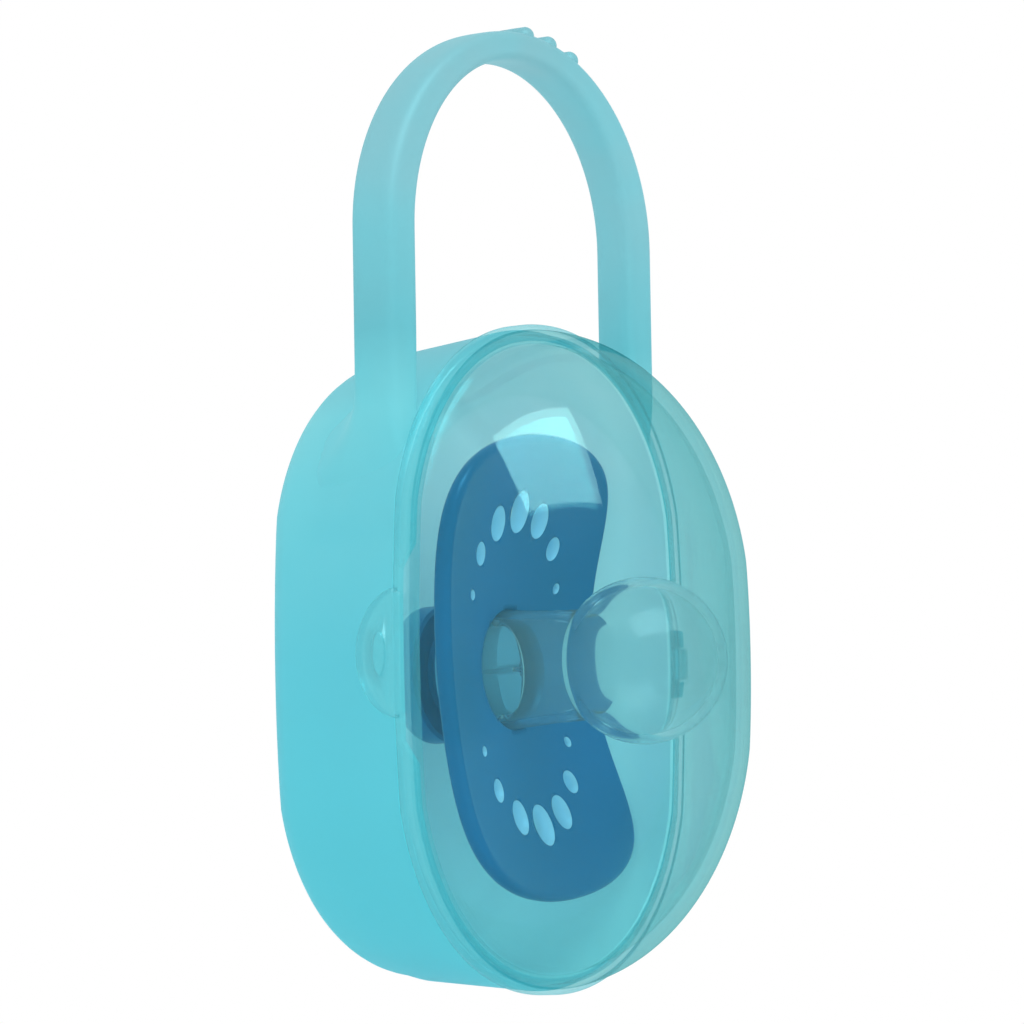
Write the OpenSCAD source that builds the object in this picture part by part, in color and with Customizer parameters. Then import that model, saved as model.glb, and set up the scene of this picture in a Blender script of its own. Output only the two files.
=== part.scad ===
// Carrying and sterilizing case for a pacifier, with the pacifier inside.
// Millimetres. +Z is up, the domed cover faces -Y and the flat back faces +Y.
// The origin is the centre of the flat back.

/* [Case] */
// Width of the case across its long sides
case_w = 50; // [46:0.2:60]
// Height of the case without its handle
case_h = 82; // [78:0.5:96]
// Half the length of the straight part of each long side
case_side = 11; // [6:0.5:14]
// Squareness of the case's rounded ends, where 2 is an ellipse
case_power = 2.1; // [2:0.05:2.6]
// Wall of both shells
wall = 1.8; // [1.6:0.1:2.2]

/* [Rear shell] */
// Depth of the rear shell, from the seam to its flat back
rear_d = 24; // [21:0.2:32]
// Radius of the edge round the flat back
back_r = 5; // [3:0.5:7]
// How far the long sides draw in on their way to the back
draft = 0.8; // [0.2:0.1:1.4]
// How far the top and the bottom draw in on their way to the back
end_draft = 2.1; // [0.5:0.1:3]

/* [Front cover] */
// Depth of the domed cover in front of the seam
cover_d = 27.8; // [26:0.2:32]
// Fullness of the dome's profile, where 2 is an ellipse
dome_power = 2.06; // [2:0.02:2.6]
// Half the straight part of the dome's outline at its tip, as if at full size
tip_side = 9; // [0:0.5:14]

/* [Seam] */
// Length of the lip of the rear shell that stands inside the cover
lip_l = 2.3; // [1.6:0.1:3.2]
// Gap between the lip and the cover
lip_gap = 0.3; // [0.25:0.05:0.4]
// Gap between the edges of the two shells
seam_gap = 0.3; // [0.25:0.05:0.4]
// How far the band round the cover's edge stands proud
band_h = 0.5; // [0.3:0.05:0.8]
// Height of the gap in the lip behind the tab
lip_cut_h = 22; // [18:0.5:28]

/* [Opening tab] */
// Height of the tab where it leaves the cover
tab_h = 15.1; // [12:0.1:18]
// How far the tab reaches over the rear shell
tab_reach = 4.9; // [4:0.1:6.5]
// Thickness of the tab
tab_t = 1.2; // [1:0.1:1.6]
// Gap between the tab and the rear shell
tab_gap = 0.4; // [0.35:0.05:0.6]
// Height of the thumb ridge on the tab
ridge_h = 5.4; // [4:0.1:7]
// Width of the thumb ridge on the tab
ridge_w = 2.2; // [1.6:0.1:3]
// How far the thumb ridge stands proud
ridge_t = 0.4; // [0.2:0.1:0.7]
// How far the catch under the tab stands out of the rear shell
catch_t = 0.2; // [0.1:0.05:0.2]

/* [Hinge] */
// Radius of the hinge pin
pin_r = 0.7; // [0.6:0.05:0.8]
// Running clearance round the pin in the cover's knuckle
pin_run = 0.06; // [0.03:0.01:0.08]
// Clearance round the pin in the rear shell's ears
pin_seat = 0.02; // [0.01:0.01:0.05]
// Radius of the ears and of the knuckle
knuckle_r = 1.4; // [1.3:0.05:1.7]
// Height of the whole hinge
hinge_h = 10; // [8:0.5:14]
// Height of the cover's knuckle
knuckle_h = 4.4; // [3:0.2:6]
// Gap between the knuckle and each ear
knuckle_gap = 0.3; // [0.25:0.05:0.4]
// Gap between the ears and the cover's band
ear_gap = 0.4; // [0.35:0.05:0.6]
// Length of the leaf that carries the ears
leaf_l = 11.4; // [8:0.2:13]
// How far the leaf stands out of the rear shell
leaf_t = 0.8; // [0.5:0.1:1.2]
// Corner radius of the leaf
leaf_r = 2.4; // [1:0.1:3.5]

/* [Carry handle] */
// Width of the handle over its two legs
handle_w = 49.2; // [42:0.2:56]
// Thickness of each leg, across the case
leg_t = 5.2; // [3.5:0.1:6]
// Depth of the handle, from front to back
handle_d = 6.7; // [4:0.1:8]
// How much further out the back of each leg is than its front
leg_slant = 0.8; // [0:0.1:1.2]
// Distance of the handle's front from the seam
handle_set = 0.1; // [0.1:0.1:2]
// Height of the straight legs above the middle of the case
leg_top = 52.6; // [48:0.1:64]
// Rise of the arch over the legs, at its outside
arch_rise = 26.1; // [20:0.1:34]
// Thickness of the arch at its top
arch_t = 3.8; // [3:0.1:6]
// Height above the middle of the case at which the legs start to draw in to their feet
ankle_z = 33; // [28:0.5:40]
// Height of the feet of the legs above the middle of the case
foot_z = 20.5; // [18:0.5:26]
// How far the outside of each leg draws in at its foot
foot_in = 1.6; // [0.5:0.1:3]
// Squareness of the handle's section, where 2 is an ellipse
handle_power = 4; // [3:0.5:8]

/* [Handle grip] */
// Number of grip ridges on the arch
grip_n = 3; // [0:1:5]
// Angle of the first ridge round the arch, from the far leg
grip_first = 65; // [40:1:80]
// Angle from ridge to ridge
grip_step = 10; // [8:1:14]
// Radius of a ridge
grip_r = 1.2; // [0.8:0.1:1.8]
// How far a ridge stands out of the arch
grip_out = 0.9; // [0.5:0.1:1.2]

/* [Pacifier] */
// Room along the case's axis between the teat's tip and the inside of the dome's tip
tip_room = 1.1; // [1.1:0.1:3]
// Height of the shield's middle from the middle of the case
pac_z = -1.1; // [-3:0.1:3]
// Turn of the pacifier about the upright axis
pac_turn = 12; // [0:1:12]
// Lean of the pacifier about the axis of the case
pac_lean = -5; // [-8:1:8]
// Width of the shield at its waist
waist_w = 35; // [30:0.5:37]
// How much wider the two lobes are drawn than the waist
lobe_gain = 1; // [0.4:0.05:1.2]
// Height of the shield over both lobes
shield_h = 58; // [50:0.5:60]
// Thickness of the shield
shield_t = 2.4; // [2:0.1:3]
// Radius of the shield's curve up and down
bend_z = 65; // [50:1:100]
// Radius of the shield's curve across
bend_x = 80; // [60:1:140]
// Number of air holes in each lobe
hole_n = 7; // [3:2:7]
// Angle from air hole to air hole
hole_step = 15.5; // [14:0.5:18]
// Distance of the middle hole from the shield's middle
hole_far = 19.5; // [17:0.5:22]
// How much nearer the outermost holes are
hole_near = 5.5; // [0:0.5:6]
// Length of the middle air hole
hole_l = 5.2; // [3:0.1:6]
// Width of the middle air hole
hole_w = 4.2; // [1.5:0.1:4.4]

/* [Teat] */
// Radius of the teat's bulb
bulb_r = 10.3; // [9:0.1:10.6]
// Distance of the bulb's middle in front of the shield's middle
bulb_y = 20.2; // [19:0.1:21]
// Radius of the teat's neck next to the bulb
neck_r = 6.9; // [6.3:0.1:7.4]
// How much the neck flares at its base
neck_flare = 0.7; // [0.2:0.1:1]
// Wall of the teat
teat_t = 1.1; // [0.8:0.1:1.3]
// Radius of the teat's flange behind the shield
flange_r = 10; // [9.4:0.1:10.8]
// Thickness of the flange
flange_t = 1.2; // [0.8:0.1:1.6]
// Clearance round the teat in the shield
teat_gap = 0.05; // [0.02:0.01:0.2]

/* [Plug and knob] */
// Thickness of the plug's plate behind the flange
plug_t = 1.6; // [1.2:0.1:2.4]
// Length of the plug's two studs
stud_l = 3.4; // [2:0.1:5]
// Height over the two studs
studs_h = 11; // [8:0.1:11.2]
// Width of the studs
studs_w = 5.8; // [4:0.1:7]
// Gap between the two studs
stud_gap = 0.6; // [0.4:0.1:1.2]
// Radius of the knob's stem
stem_r = 5.2; // [4:0.1:7]
// Length of the knob's stem
stem_l = 3.6; // [2:0.1:5]
// Radius of the knob
knob_r = 8.6; // [7:0.1:10]
// Thickness of the knob
knob_t = 4.6; // [3:0.1:5]
// Radius of the knob's edge
knob_edge = 2; // [1:0.1:2.2]

/* [Hidden] */

// Steps round each ring, along each corner and over the dome
ring_n = 72;
corner_n = 5;
dome_n = 11;
arch_n = 36;
section_n = 20;
round_n = 64;

shell_colour = "#5FC8D4";
cover_colour = "#7DC8CD";
shield_colour = "#2F78A8";
teat_colour = "#A8CDD2";

half_w = case_w / 2;
half_h = case_h / 2;
// The two halves of the wall that lie beside each other at the seam
skirt_t = (wall - lip_gap) / 2;
lip_in = skirt_t + lip_gap;
band_w = lip_l;
band_front = -(seam_gap + band_w);
// Height of the small slopes at the band's two edges
band_slope = 0.25;

hinge_x = half_w + band_h + ear_gap + knuckle_r;
ear_h = (hinge_h - knuckle_h) / 2 - knuckle_gap;
leaf_y = knuckle_r + ear_gap;

// The tab's edge is an arc through its root and its tip
tab_half = tab_h / 2;
tab_over = tab_reach + seam_gap;
tab_r = (tab_half * tab_half + tab_over * tab_over) / (2 * tab_over);
tab_y = tab_reach - tab_r;
ridge_y = tab_reach * 0.16;
catch_y = tab_reach / 2;

leg_x = handle_w / 2;
// The pacifier stands as far back from the dome as its teat needs
pac_y = bulb_y * cos(pac_turn) + bulb_r + tip_room - (cover_d - wall);
shield_back = shield_t / 2;
flange_back = shield_back + flange_t;
plug_back = flange_back + plug_t;
stem_back = plug_back + stem_l;
collar_r = flange_r + 0.4;
neck_base_r = neck_r + neck_flare;
shield_bore_r = neck_base_r + teat_gap;

// ---- Shapes that repeat ----

function signed_pow(v, p) = sign(v) * pow(abs(v), p);

// One oval ring across Y: half-width, half-height, half its straight side and place
function ring(hw, hh, side, y) = [
    for (i = [0:ring_n - 1])
        let (t = 360 * i / ring_n, up = signed_pow(sin(t), 2 / case_power))
        [hw * signed_pow(cos(t), 2 / case_power), y, (hh - side) * up + side * sign(up)]
];

// The case's own outline, drawn in by an inset and by a share of the two drafts
function case_ring(inset, y, drawn = 0) = ring(
    half_w - inset - draft * drawn,
    half_h - inset - end_draft * drawn,
    case_side,
    y
);

// The dome's ring at a place in front of the seam, drawn in by an offset
function dome_ring(off, y) =
    let (
        part = -y / (cover_d - off),
        k = pow(1 - pow(part, dome_power), 1 / dome_power),
        side = case_side + (tip_side - case_side) * pow(part, dome_power / 2)
    )
    ring((half_w - off) * k, (half_h - off) * k, side * k, y);

// The dome's rings from its tip to the band
function dome_rings(off, n) =
    let (
        depth = cover_d - off,
        low = asin(pow(-band_front / depth, dome_power / 2))
    )
    [for (i = [1:n]) dome_ring(off, -depth * pow(sin(90 - (90 - low) * i / n), 2 / dome_power))];

function reversed(list) = [for (i = [len(list) - 1:-1:0]) list[i]];

// A closed solid through rings of equal count, from a first point to a last one
module ring_solid(first, rings, last) {
    n = len(rings[0]);
    count = len(rings);
    end = 1 + count * n;
    polyhedron(
        points = concat([first], [for (r = rings) each r], [last]),
        faces = concat(
            [for (j = [0:n - 1]) [0, 1 + (j + 1) % n, 1 + j]],
            [
                for (i = [0:count - 2], j = [0:n - 1], half = [0:1])
                    let (
                        a = 1 + i * n + j,
                        b = 1 + i * n + (j + 1) % n
                    )
                    half == 0 ? [a, b, b + n] : [a, b + n, a + n]
            ],
            [for (j = [0:n - 1]) [end - n + j, end - n + (j + 1) % n, end]]
        )
    );
}

// A flat shape drawn in Y and Z, made thick along X from one place to another
module across(x0, x1) {
    translate([x0, 0, 0])
        rotate([90, 0, 90])
            linear_extrude(x1 - x0)
                children();
}

// A flat shape drawn in X and Z, made thick along Y from one place to another
module along(y0, y1) {
    translate([0, y1, 0])
        rotate([90, 0, 0])
            linear_extrude(y1 - y0)
                children();
}

module ellipse(w, h) {
    polygon([for (i = [0:23]) [w / 2 * cos(15 * i), h / 2 * sin(15 * i)]]);
}

module rounded_rect(w, h, r) {
    polygon([
        for (c = [[1, 1, 0], [-1, 1, 90], [-1, -1, 180], [1, -1, 270]], k = [0:6])
            [
                c[0] * (w / 2 - r) + r * cos(c[2] + 15 * k),
                c[1] * (h / 2 - r) + r * sin(c[2] + 15 * k)
            ]
    ]);
}

// Everything is drawn with the seam at Y = 0 and then moved so that the back is there
module in_case() {
    translate([0, -rear_d, 0]) children();
}

module in_pacifier() {
    in_case()
        translate([0, pac_y, pac_z])
            rotate([0, pac_lean, 0])
                rotate([0, 0, pac_turn])
                    children();
}

// ---- Rear shell ----

function back_corner(r, inset, y) = [
    for (k = [0:corner_n])
        let (t = 90 * k / corner_n)
        case_ring(inset + r * (1 - cos(t)), y - r + r * sin(t), 1)
];

rear_outside = concat([case_ring(0, 0)], back_corner(back_r, 0, rear_d));

rear_inside = concat(
    reversed(back_corner(back_r - wall, wall, rear_d - wall)),
    [case_ring(wall, 0), case_ring(wall, -lip_l)]
);

module rear_form() {
    ring_solid([0, 0, 0], rear_outside, [0, rear_d, 0]);
}

module hinge_ear(z) {
    translate([hinge_x, 0, z]) cylinder(r = knuckle_r, h = ear_h, $fn = round_n);
    translate([half_w - skirt_t, 0, z])
        cube([hinge_x - half_w + skirt_t, leaf_y + leaf_r, ear_h]);
}

module rear_shell() {
    color(shell_colour)
        in_case()
            difference() {
                union() {
                    ring_solid(
                        [0, rear_d - wall, 0],
                        concat(
                            rear_inside,
                            [case_ring(lip_in, -lip_l), case_ring(lip_in, 0)],
                            rear_outside
                        ),
                        [0, rear_d, 0]
                    );
                    across(half_w - skirt_t - draft, half_w + leaf_t)
                        translate([leaf_y + leaf_l / 2, 0])
                            rounded_rect(leaf_l, hinge_h, leaf_r);
                    hinge_ear(hinge_h / 2 - ear_h);
                    hinge_ear(-hinge_h / 2);
                    across(-half_w - catch_t, -half_w + skirt_t)
                        translate([catch_y, 0])
                            ellipse(ridge_w, ridge_h);
                }
                translate([hinge_x, 0, -hinge_h])
                    cylinder(r = pin_r + pin_seat, h = 2 * hinge_h, $fn = round_n);
                translate([-half_w - 1, -lip_l - 1, -lip_cut_h / 2])
                    cube([2 + wall + 1, lip_l + 1 - seam_gap, lip_cut_h]);
            }
}

// ---- Carry handle ----

// One section of the handle, between a point of its outside and one of its inside
function handle_section(outer, inner) =
    let (
        mid = (outer + inner) / 2,
        reach = (outer - inner) / 2,
        y = handle_set + handle_d / 2
    )
    [
        for (i = [0:section_n - 1])
            let (
                t = 360 * i / section_n,
                u = signed_pow(cos(t), 2 / handle_power),
                v = signed_pow(sin(t), 2 / handle_power),
                slant = leg_slant / 2 * mid[0] / (leg_x - leg_t / 2)
            )
            [mid[0] + reach[0] * u - slant * v, y - handle_d / 2 * v, mid[1] + reach[1] * u]
    ];

// The handle's outside and inside at an angle round the arch
function arch_outer(t) = [leg_x * cos(t), leg_top + arch_rise * sin(t)];
function arch_inner(t) = [
    (leg_x - leg_t) * cos(t),
    leg_top + (arch_rise - arch_t) * sin(t)
];

module grip_ridge(t) {
    // Square to the ellipse of the arch, a ridge shows grip_out of its radius
    out = arch_outer(t);
    normal = [cos(t) / leg_x, sin(t) / arch_rise];
    place = out + normal / norm(normal) * (grip_out - grip_r);
    end = handle_d * 0.36;
    translate([place[0], handle_set + handle_d / 2, place[1]])
        rotate([90, 0, 0])
            cylinder(r = grip_r, h = 2 * end, center = true, $fn = round_n);
}

module carry_handle() {
    stations = concat(
        [[[leg_x - foot_in, foot_z], [leg_x - leg_t, foot_z]]],
        [[[leg_x, ankle_z], [leg_x - leg_t, ankle_z]]],
        [for (i = [0:arch_n]) let (t = 180 * i / arch_n) [arch_outer(t), arch_inner(t)]],
        [[[-leg_x, ankle_z], [-leg_x + leg_t, ankle_z]]],
        [[[foot_in - leg_x, foot_z], [leg_t - leg_x, foot_z]]]
    );
    first = [leg_x - leg_t / 2, handle_set + handle_d / 2, foot_z];
    color(shell_colour)
        in_case()
            difference() {
                union() {
                    ring_solid(
                        first,
                        [for (s = stations) handle_section(s[0], s[1])],
                        [-first[0], first[1], first[2]]
                    );
                    for (i = [0:1:grip_n - 1])
                        grip_ridge(grip_first + grip_step * i);
                }
                rear_form();
            }
}

// ---- Front cover ----

module tab_outline() {
    translate([tab_y, 0]) circle(r = tab_r, $fn = round_n);
}

module opening_tab() {
    outside = -half_w - tab_gap - tab_t;
    // The root lies on the band, and the free part stands off the rear shell
    intersection() {
        across(outside, -half_w + skirt_t / 2) tab_outline();
        translate([outside - 1, band_front, -tab_h])
            cube([tab_gap + tab_t + skirt_t + 2, band_w, 2 * tab_h]);
    }
    intersection() {
        across(outside, -half_w - tab_gap) tab_outline();
        translate([outside - 1, -seam_gap - band_w / 2, -tab_h])
            cube([tab_t + 2, tab_reach + band_w + 1, 2 * tab_h]);
    }
    across(outside - ridge_t, outside + ridge_t)
        translate([ridge_y, 0])
            ellipse(ridge_w, ridge_h);
}

module cover_knuckle() {
    translate([hinge_x, 0, -knuckle_h / 2])
        cylinder(r = knuckle_r, h = knuckle_h, $fn = round_n);
    translate([half_w - skirt_t / 2, band_front, -knuckle_h / 2])
        cube([hinge_x - half_w + skirt_t / 2, -seam_gap - band_front, knuckle_h]);
}

module front_cover() {
    color(cover_colour, 0.5)
        in_case()
            difference() {
                union() {
                    ring_solid(
                        [0, -cover_d, 0],
                        concat(
                            dome_rings(0, dome_n),
                            [
                                case_ring(-band_h, band_front + band_slope),
                                case_ring(-band_h, -seam_gap - band_slope),
                                case_ring(-band_h + band_slope, -seam_gap),
                                case_ring(skirt_t, -seam_gap),
                                case_ring(skirt_t, band_front)
                            ],
                            reversed(dome_rings(wall, dome_n - 2))
                        ),
                        [0, -cover_d + wall, 0]
                    );
                    opening_tab();
                    cover_knuckle();
                }
                translate([hinge_x, 0, -hinge_h])
                    cylinder(r = pin_r + pin_run, h = 2 * hinge_h, $fn = round_n);
            }
}

module hinge_pin() {
    color(shell_colour)
        in_case()
            translate([hinge_x, 0, -hinge_h / 2])
                cylinder(r = pin_r, h = hinge_h, $fn = round_n);
}

// ---- Pacifier ----

// A point of the shield at a share of its size, an angle and a side of its thickness
function shield_point(share, t, side) =
    let (
        x = share * waist_w / 2 * cos(t) * (1 + lobe_gain * pow(sin(t), 2)),
        z = share * shield_h / 2 * signed_pow(sin(t), 0.86),
        bend = x * x / (2 * bend_x) + z * z / (2 * bend_z)
    )
    [x, side * shield_t / 2 - bend, z];

function shield_ring(share, side) =
    [for (i = [0:ring_n - 1]) shield_point(share, 360 * i / ring_n, side)];

module air_hole(k, side) {
    last = max((hole_n - 1) / 2, 1);
    size = 1 - 0.72 * pow(abs(k) / last, 1.4);
    far = hole_far - hole_near * pow(abs(k) / last, 2);
    along(-shield_h / 3, shield_h / 3)
        rotate(hole_step * k + (side > 0 ? 0 : 180))
            translate([0, far])
                ellipse(hole_w * size, hole_l * size);
}

module pacifier_shield() {
    shares = [0.3, 0.5, 0.7, 0.86, 0.96];
    color(shield_colour)
        in_pacifier()
            difference() {
                union() {
                    ring_solid(
                        [0, -shield_t / 2, 0],
                        concat(
                            [for (s = shares) shield_ring(s, -1)],
                            [shield_ring(0.99, -0.6), shield_ring(1, 0), shield_ring(0.99, 0.6)],
                            [for (s = reversed(shares)) shield_ring(s, 1)]
                        ),
                        [0, shield_t / 2, 0]
                    );
                    along(0, shield_back)
                        circle(r = collar_r, $fn = round_n);
                }
                along(-shield_t, shield_t)
                    circle(r = shield_bore_r, $fn = round_n);
                for (side = [-1, 1], k = [-(hole_n - 1) / 2:1:(hole_n - 1) / 2])
                    air_hole(k, side);
            }
}

// The teat's half outline, drawn in by an inset: radius first, then the place in front
function teat_profile(inset) =
    let (
        r = bulb_r - inset,
        neck = neck_r - inset,
        start = asin(neck / r),
        neck_end = bulb_y - r * cos(start)
    )
    concat(
        [for (k = [0:6]) [neck + neck_flare * pow(1 - k / 6, 2), neck_end * k / 6]],
        [
            for (k = [1:20])
                let (t = start + (180 - start) * k / 20)
                [k == 20 ? 0 : r * sin(t), bulb_y - r * cos(t)]
        ]
    );

module pacifier_teat() {
    outer = teat_profile(0);
    inner = teat_profile(teat_t);
    color(teat_colour, 0.5)
        in_pacifier()
            rotate([90, 0, 0])
                rotate_extrude($fn = round_n)
                    polygon(concat(
                        [
                            [neck_base_r - teat_t, -flange_back],
                            [flange_r, -flange_back],
                            [flange_r, -shield_back],
                            [neck_base_r, -shield_back]
                        ],
                        outer,
                        reversed(inner)
                    ));
}

module teat_plug() {
    color(teat_colour)
        in_pacifier() {
            along(flange_back, plug_back)
                circle(r = flange_r, $fn = round_n);
            along(flange_back - stud_l, flange_back)
                difference() {
                    ellipse(studs_w, studs_h);
                    translate([-studs_w, -stud_gap / 2])
                        square([2 * studs_w, stud_gap]);
                }
        }
}

module pacifier_knob() {
    color(shield_colour)
        in_pacifier()
            rotate([-90, 0, 0])
                rotate_extrude($fn = round_n)
                    polygon(concat(
                        [[0, plug_back], [stem_r, plug_back], [stem_r, stem_back]],
                        [[knob_r, stem_back]],
                        [
                            for (k = [0:6])
                                [
                                    knob_r - knob_edge + knob_edge * cos(15 * k),
                                    stem_back + knob_t - knob_edge + knob_edge * sin(15 * k)
                                ]
                        ],
                        [[0, stem_back + knob_t]]
                    ));
}

rear_shell();
carry_handle();
front_cover();
hinge_pin();
pacifier_shield();
pacifier_teat();
teat_plug();
pacifier_knob();
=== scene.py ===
import math

import bmesh
import bpy
import numpy as np
from mathutils import Matrix, Vector


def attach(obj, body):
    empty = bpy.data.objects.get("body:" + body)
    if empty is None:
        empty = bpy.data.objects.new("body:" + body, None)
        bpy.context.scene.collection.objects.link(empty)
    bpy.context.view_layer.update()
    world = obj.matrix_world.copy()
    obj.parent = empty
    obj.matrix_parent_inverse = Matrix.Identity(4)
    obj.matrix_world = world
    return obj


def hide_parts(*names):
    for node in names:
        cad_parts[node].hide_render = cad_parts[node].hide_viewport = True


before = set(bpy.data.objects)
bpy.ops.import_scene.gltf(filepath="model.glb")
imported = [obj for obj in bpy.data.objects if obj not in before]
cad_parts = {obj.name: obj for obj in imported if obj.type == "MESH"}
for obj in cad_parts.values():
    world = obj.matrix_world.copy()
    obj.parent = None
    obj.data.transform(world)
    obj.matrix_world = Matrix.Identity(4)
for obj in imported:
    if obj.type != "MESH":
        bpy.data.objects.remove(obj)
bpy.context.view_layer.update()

# ---- Camera and studio ----
# A packshot of a case that stands upright, seen from its tab side and a little from
# below, on a white sweep with one large softbox over the camera's left shoulder.
MM = 0.001
SEAM_Y = -24 * MM
VIEW_TURN, VIEW_LIFT, VIEW_ROLL = math.radians(47.2), math.radians(-4.45), -0.017
VIEW_DISTANCE = 800 * MM
VIEW_SHIFT = (-2.66 * MM, 18.28 * MM)
SENSOR, FOCAL_SHARE = 36.0, 6.3047

out_of_picture = Vector(
    (
        -math.sin(VIEW_TURN) * math.cos(VIEW_LIFT),
        -math.cos(VIEW_TURN) * math.cos(VIEW_LIFT),
        math.sin(VIEW_LIFT),
    )
)
level_right = Vector((math.cos(VIEW_TURN), -math.sin(VIEW_TURN), 0))
level_up = out_of_picture.cross(level_right)
right = level_right * math.cos(VIEW_ROLL) + level_up * math.sin(VIEW_ROLL)
up = level_up * math.cos(VIEW_ROLL) - level_right * math.sin(VIEW_ROLL)
looked_at = Vector((0, SEAM_Y, 0)) + right * VIEW_SHIFT[0] + up * VIEW_SHIFT[1]


def turned(x_axis, y_axis, z_axis, place):
    """The matrix of a thing that stands at a place and is turned to three given axes."""
    matrix = Matrix((x_axis, y_axis, z_axis)).transposed().to_4x4()
    matrix.translation = place
    return matrix


camera = bpy.data.objects.new("camera", bpy.data.cameras.new("camera"))
camera.data.sensor_width = SENSOR
camera.data.lens = SENSOR * FOCAL_SHARE
camera.data.clip_start = 0.05
stand = looked_at + out_of_picture * VIEW_DISTANCE
camera.matrix_world = turned(right, up, out_of_picture, stand)
bpy.context.scene.collection.objects.link(camera)
bpy.context.scene.camera = camera
bpy.context.scene.view_settings.view_transform = "Standard"


def softbox(name, place, aim, size, radiance, roll):
    """A rectangular lamp of even brightness, where a radiance of 1 looks plain white."""
    lamp = bpy.data.lights.new(name, "AREA")
    lamp.shape = "RECTANGLE"
    lamp.size, lamp.size_y = size
    lamp.energy = radiance * math.pi * size[0] * size[1]
    back = (Vector(place) - Vector(aim)).normalized()
    side = Vector((0, 0, 1)).cross(back).normalized()
    side.rotate(Matrix.Rotation(roll, 3, back))
    lamp_object = bpy.data.objects.new(name, lamp)
    lamp_object.matrix_world = turned(side, back.cross(side), back, place)
    bpy.context.scene.collection.objects.link(lamp_object)
    return lamp_object


def linear(hex_colour):
    """Linear RGBA of an sRGB colour written as six hex digits."""
    shares = [int(hex_colour[i : i + 2], 16) / 255 for i in (0, 2, 4)]
    return [s / 12.92 if s < 0.04045 else ((s + 0.055) / 1.055) ** 2.4 for s in shares] + [1]


def add(tree, kind, settings=None, **links):
    """A new node of a tree: settings by socket or property name, links by socket name."""
    new = tree.nodes.new(kind)
    for name, value in (settings or {}).items():
        if name in new.inputs:
            new.inputs[name].default_value = value
        else:
            setattr(new, name, value)
    for name, source in links.items():
        tree.links.new(source, new.inputs[name.replace("_", " ")])
    return new


def feed(tree, sockets, terms):
    """Gives each socket its term, which is another socket to link or a plain value."""
    for socket, term in zip(sockets, terms):
        if isinstance(term, bpy.types.NodeSocket):
            tree.links.new(term, socket)
        else:
            socket.default_value = term


def maths(tree, operation, *terms):
    new = add(tree, "ShaderNodeMath", {"operation": operation})
    feed(tree, new.inputs, terms)
    return new.outputs[0]


def layered(tree, share, under, over):
    """One surface mixed into another by a share."""
    new = add(tree, "ShaderNodeMixShader")
    feed(tree, new.inputs, (share, under, over))
    return new.outputs[0]


def new_material(name):
    material = bpy.data.materials.new(name)
    material.use_nodes = True
    material.node_tree.nodes.clear()
    return material, material.node_tree


# The key softbox stands over the camera's left shoulder, where the dome mirrors it. Its
# face is drawn brighter for reflections than the light that it gives to matt surfaces.
KEY_PLACE, KEY_AIM, KEY_SIZE = (-0.401, -0.540, 0.813), (-0.117, 0.044, 0.081), (0.89, 0.69)
KEY_ROLL = math.radians(6)
KEY_SHINE, KEY_LIGHT = 13.0, 1.8
key_face = softbox("key_softbox_face", KEY_PLACE, KEY_AIM, KEY_SIZE, KEY_SHINE, KEY_ROLL)
key_face.visible_diffuse = False
key_face.visible_transmission = False
key_box = softbox("key_softbox", KEY_PLACE, KEY_AIM, KEY_SIZE, KEY_LIGHT, KEY_ROLL)
key_box.visible_glossy = False

# What is seen, mirrored or looked through is plain white; the soft light is a little more.
SOFT_LIGHT, PLAIN_WHITE = 1.06, 1.0
world = bpy.data.worlds.new("white_studio")
world.use_nodes = True
tree = world.node_tree
tree.nodes.clear()
rays = add(tree, "ShaderNodeLightPath").outputs
seen = maths(tree, "MAXIMUM", rays["Is Camera Ray"], rays["Is Glossy Ray"])
white_for = maths(tree, "MAXIMUM", seen, rays["Is Transmission Ray"])
soft_light = add(tree, "ShaderNodeBackground", {"Color": (1, 1, 1, 1), "Strength": SOFT_LIGHT})
plain_white = add(tree, "ShaderNodeBackground", {"Color": (1, 1, 1, 1), "Strength": PLAIN_WHITE})
either = layered(tree, white_for, soft_light.outputs[0], plain_white.outputs[0])
add(tree, "ShaderNodeOutputWorld", None, Surface=either)
bpy.context.scene.world = world

# The floor lies just under the camera, which looks up at the case a little.
FLOOR_Z, FLOOR_SIZE = -50 * MM, 1.8
bpy.ops.mesh.primitive_plane_add(size=FLOOR_SIZE, location=(0, 0, FLOOR_Z))
floor = bpy.context.object
floor.name = "studio_floor"
painted, tree = new_material("matt_white_paint")
shade = add(tree, "ShaderNodeBsdfPrincipled", {"Base Color": linear("F8F8F8"), "Roughness": 0.9})
add(tree, "ShaderNodeOutputMaterial", None, Surface=shade.outputs[0])
floor.data.materials.append(painted)

# ---- Rear shell ----
# Half of the case: a deep oval tray moulded in frosted turquoise polypropylene, with a
# lip round its rim that stands inside the cover. The hinge's leaf and two ears and the
# catch for the tab are moulded on.
HALF_W, HALF_H = 25 * MM, 41 * MM
SIDE = 11 * MM
OUTLINE_POWER = 2.1
WALL = 1.8 * MM
REAR_D, BACK_R = 24 * MM, 5 * MM
DRAFT, END_DRAFT = 0.8 * MM, 2.1 * MM
EDGE_R = 0.15 * MM
LIP_L, LIP_GAP, LIP_R = 2.3 * MM, 0.3 * MM, 0.25 * MM
LIP_CUT = 11 * MM
SKIRT_T = (WALL - LIP_GAP) / 2
BAND_H, EAR_GAP = 0.5 * MM, 0.4 * MM
KNUCKLE_R, PIN_R = 1.4 * MM, 0.7 * MM
HINGE_X = HALF_W + BAND_H + EAR_GAP + KNUCKLE_R
HINGE_H, KNUCKLE_H, KNUCKLE_GAP = 10 * MM, 4.4 * MM, 0.3 * MM
EAR_H = (HINGE_H - KNUCKLE_H) / 2 - KNUCKLE_GAP
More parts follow.
